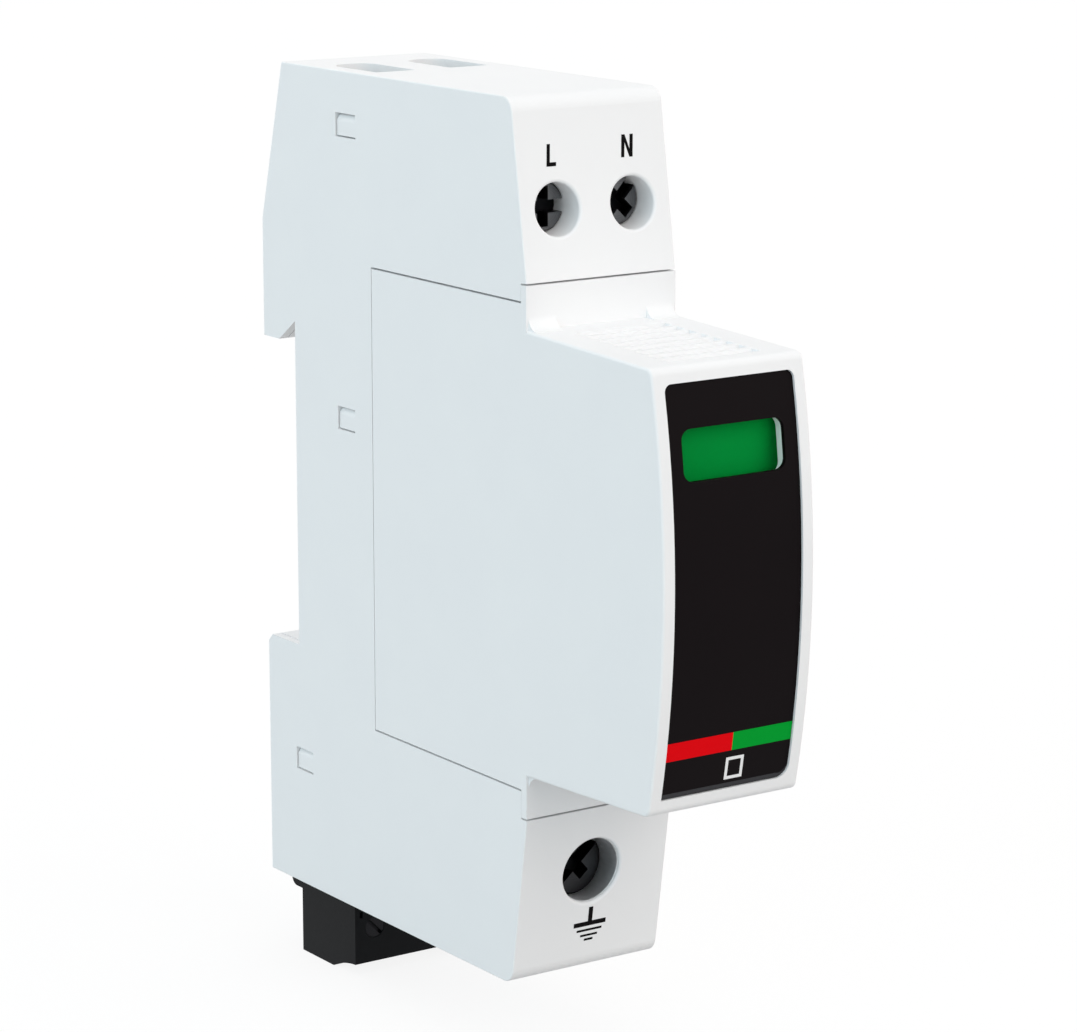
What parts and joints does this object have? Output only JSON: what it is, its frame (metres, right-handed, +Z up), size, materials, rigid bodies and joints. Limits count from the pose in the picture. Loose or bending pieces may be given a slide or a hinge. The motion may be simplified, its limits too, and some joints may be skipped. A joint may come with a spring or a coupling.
{
  "type": "plug-in surge protective device",
  "caption": "Slim rail-mounted surge protector: plug-in module with status window, sprung rail latch, screw clamps for line, neutral and earth, and a pull-off signal plug below.",
  "frame": {"origin": "on the rail's mounting plane, at the rail's centre line and the middle of the width", "axes": "+X to the right of someone facing the front, +Z up, the front faces -Y"},
  "size_m": [0.018, 0.0729, 0.0987],
  "materials": {
    "housing": "light grey, satin moulded",
    "cover": "light grey, satin moulded",
    "hood": "light grey, satin moulded",
    "carrier": "light grey, satin moulded",
    "label": "black print, satin",
    "lens": "clear plastic pane",
    "fault_red": "red, smooth",
    "indicator_green": "green, smooth",
    "copper": "bare copper strip",
    "jaw_alloy": "spring bronze",
    "blade_metal": "tinned copper",
    "screw_steel": "zinc plated, turned",
    "clamp_steel": "zinc plated sheet",
    "latch_plastic": "grey, satin moulded",
    "spring_steel": "drawn wire",
    "switch_case": "black, moulded",
    "button_plastic": "red, moulded",
    "lead_sheath": "grey wire insulation",
    "header_plastic": "black, moulded",
    "pin_metal": "tinned",
    "plug_plastic": "black, moulded",
    "plug_screw_steel": "dark plated",
    "varistor_coat": "blue epoxy coat",
    "tube_ceramic": "white ceramic, matt",
    "leaf_alloy": "spring bronze leaf"
  },
  "bodies": {
    "base": {"base_housing": "housing", "base_cover": "cover", "line_busbar": "copper", "neutral_busbar": "copper", "earth_busbar": "copper", "line_jaw": "jaw_alloy", "neutral_jaw": "jaw_alloy", "earth_jaw": "jaw_alloy", "signal_switch": "switch_case", "signal_leads": "lead_sheath", "signal_header": "header_plastic", "header_pins": "pin_metal", "latch_spring": "spring_steel"},
    "latch": {"rail_latch": "latch_plastic"},
    "line_screw": {"line_screw": "screw_steel"},
    "neutral_screw": {"neutral_screw": "screw_steel"},
    "earth_screw": {"earth_screw": "screw_steel"},
    "line_clamp": {"line_clamp": "clamp_steel"},
    "neutral_clamp": {"neutral_clamp": "clamp_steel"},
    "earth_clamp": {"earth_clamp": "clamp_steel"},
    "button": {"switch_button": "button_plastic"},
    "plug": {"signal_plug": "plug_plastic", "plug_contacts": "pin_metal"},
    "module": {"module_hood": "hood", "module_carrier": "carrier", "label_plate": "label", "window_lens": "lens", "fault_plate": "fault_red", "varistor": "varistor_coat", "gas_tube": "tube_ceramic", "line_blade": "blade_metal", "neutral_blade": "blade_metal", "earth_blade": "blade_metal", "trip_spring": "spring_steel"},
    "indicator": {"status_slider": "indicator_green"},
    "disconnector": {"disconnect_tongue": "leaf_alloy"},
    "plug_screw_1": {"plug_screw_1": "plug_screw_steel"},
    "plug_clamp_1": {"plug_clamp_1": "clamp_steel"},
    "plug_screw_2": {"plug_screw_2": "plug_screw_steel"},
    "plug_clamp_2": {"plug_clamp_2": "clamp_steel"},
    "plug_screw_3": {"plug_screw_3": "plug_screw_steel"},
    "plug_clamp_3": {"plug_clamp_3": "clamp_steel"}
  },
  "joints": [
    {"name": "rail_latch_slide", "type": "slide", "parent": "base", "child": "latch", "axis": [0, 0, -1], "range_m": [0, 0.003], "stiffness_N_per_m": 1500, "springref_m": -0.002, "deforming": ["latch_spring"]},
    {"name": "line_screw_turn", "type": "hinge", "parent": "base", "child": "line_screw", "pos_m": [-0.0045, -0.03995, 0.0339], "axis": [0, 1, 0], "range_deg": [0, 4320]},
    {"name": "neutral_screw_turn", "type": "hinge", "parent": "base", "child": "neutral_screw", "pos_m": [0.0045, -0.03995, 0.0339], "axis": [0, 1, 0], "range_deg": [0, 4320]},
    {"name": "earth_screw_turn", "type": "hinge", "parent": "base", "child": "earth_screw", "pos_m": [-0.0002, -0.0392, -0.03405], "axis": [0, 1, 0], "range_deg": [0, 3600]},
    {"name": "line_clamp_slide", "type": "slide", "parent": "base", "child": "line_clamp", "axis": [0, -1, 0], "range_m": [0, 0.0084]},
    {"name": "neutral_clamp_slide", "type": "slide", "parent": "base", "child": "neutral_clamp", "axis": [0, -1, 0], "range_m": [0, 0.0084]},
    {"name": "earth_clamp_slide", "type": "slide", "parent": "base", "child": "earth_clamp", "axis": [0, -1, 0], "range_m": [0, 0.008]},
    {"name": "plug_slide", "type": "slide", "parent": "base", "child": "plug", "axis": [0, 0, -1], "range_m": [0, 0.012]},
    {"name": "module_slide", "type": "slide", "parent": "base", "child": "module", "axis": [0, -1, 0], "range_m": [0, 0.04]},
    {"name": "indicator_slide", "type": "slide", "parent": "module", "child": "indicator", "axis": [0, 0, -1], "range_m": [0, 0.0066], "deforming": ["trip_spring"]},
    {"name": "disconnector_swing", "type": "hinge", "parent": "module", "child": "disconnector", "pos_m": [0.0029, -0.0252, 0], "axis": [0, 0, 1], "range_deg": [0, 12]},
    {"name": "button_press", "type": "slide", "parent": "base", "child": "button", "axis": [0, 1, 0], "range_m": [0, 0.0008]},
    {"name": "plug_screw_1_turn", "type": "hinge", "parent": "plug", "child": "plug_screw_1", "pos_m": [-0.00508, -0.0086, -0.0485], "axis": [0, 1, 0], "range_deg": [0, 1800]},
    {"name": "plug_clamp_1_slide", "type": "slide", "parent": "plug", "child": "plug_clamp_1", "axis": [0, -1, 0], "range_m": [0, 0.002]},
    {"name": "plug_screw_2_turn", "type": "hinge", "parent": "plug", "child": "plug_screw_2", "pos_m": [0, -0.0086, -0.0485], "axis": [0, 1, 0], "range_deg": [0, 1800]},
    {"name": "plug_clamp_2_slide", "type": "slide", "parent": "plug", "child": "plug_clamp_2", "axis": [0, -1, 0], "range_m": [0, 0.002]},
    {"name": "plug_screw_3_turn", "type": "hinge", "parent": "plug", "child": "plug_screw_3", "pos_m": [0.00508, -0.0086, -0.0485], "axis": [0, 1, 0], "range_deg": [0, 1800]},
    {"name": "plug_clamp_3_slide", "type": "slide", "parent": "plug", "child": "plug_clamp_3", "axis": [0, -1, 0], "range_m": [0, 0.002]}
  ],
  "couplings": [
    {"joint": "line_screw_turn", "follows": "line_clamp_slide", "rad_per_m": 8975.9},
    {"joint": "neutral_screw_turn", "follows": "neutral_clamp_slide", "rad_per_m": 8975.9},
    {"joint": "earth_screw_turn", "follows": "earth_clamp_slide", "rad_per_m": 7853.9},
    {"joint": "disconnector_swing", "follows": "indicator_slide", "rad_per_m": 31.733},
    {"joint": "button_press", "follows": "indicator_slide", "ratio": 0.12121},
    {"joint": "plug_screw_1_turn", "follows": "plug_clamp_1_slide", "rad_per_m": 15708},
    {"joint": "plug_screw_2_turn", "follows": "plug_clamp_2_slide", "rad_per_m": 15708},
    {"joint": "plug_screw_3_turn", "follows": "plug_clamp_3_slide", "rad_per_m": 15708}
  ]
}
